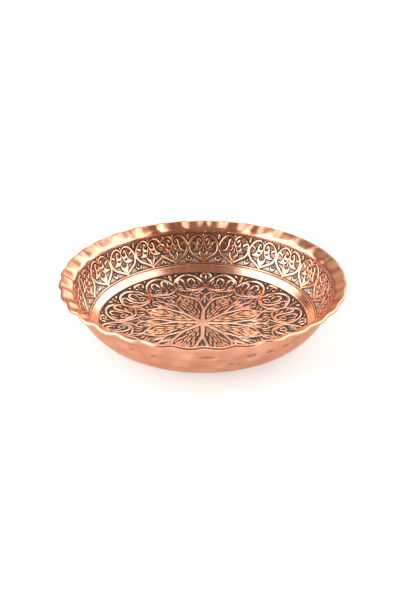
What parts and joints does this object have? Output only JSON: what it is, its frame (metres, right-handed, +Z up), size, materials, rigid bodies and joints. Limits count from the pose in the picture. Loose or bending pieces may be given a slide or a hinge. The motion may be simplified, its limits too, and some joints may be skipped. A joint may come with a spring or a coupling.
{
  "type": "fluted copper dish",
  "caption": "Round deep copper dish with a fluted, rolled rim, an engraved medallion on the floor and a frieze of hearts round the wall.",
  "frame": {"origin": "centre of the resting face", "axes": "+Z up along the axis of the dish; -Y is the side nearest the viewer, and the dish is round, so X and Y are otherwise free"},
  "size_m": [0.2494, 0.2494, 0.0464],
  "materials": {
    "copper": "polished copper, hand hammered outside",
    "black_filler": "matt black engraver's filler",
    "iron_wire": "drawn wire"
  },
  "bodies": {
    "root": {"copper_body": "copper", "rim_wire": "iron_wire", "medallion_fill": "black_filler", "frieze_fill": "black_filler"}
  },
  "joints": []
}
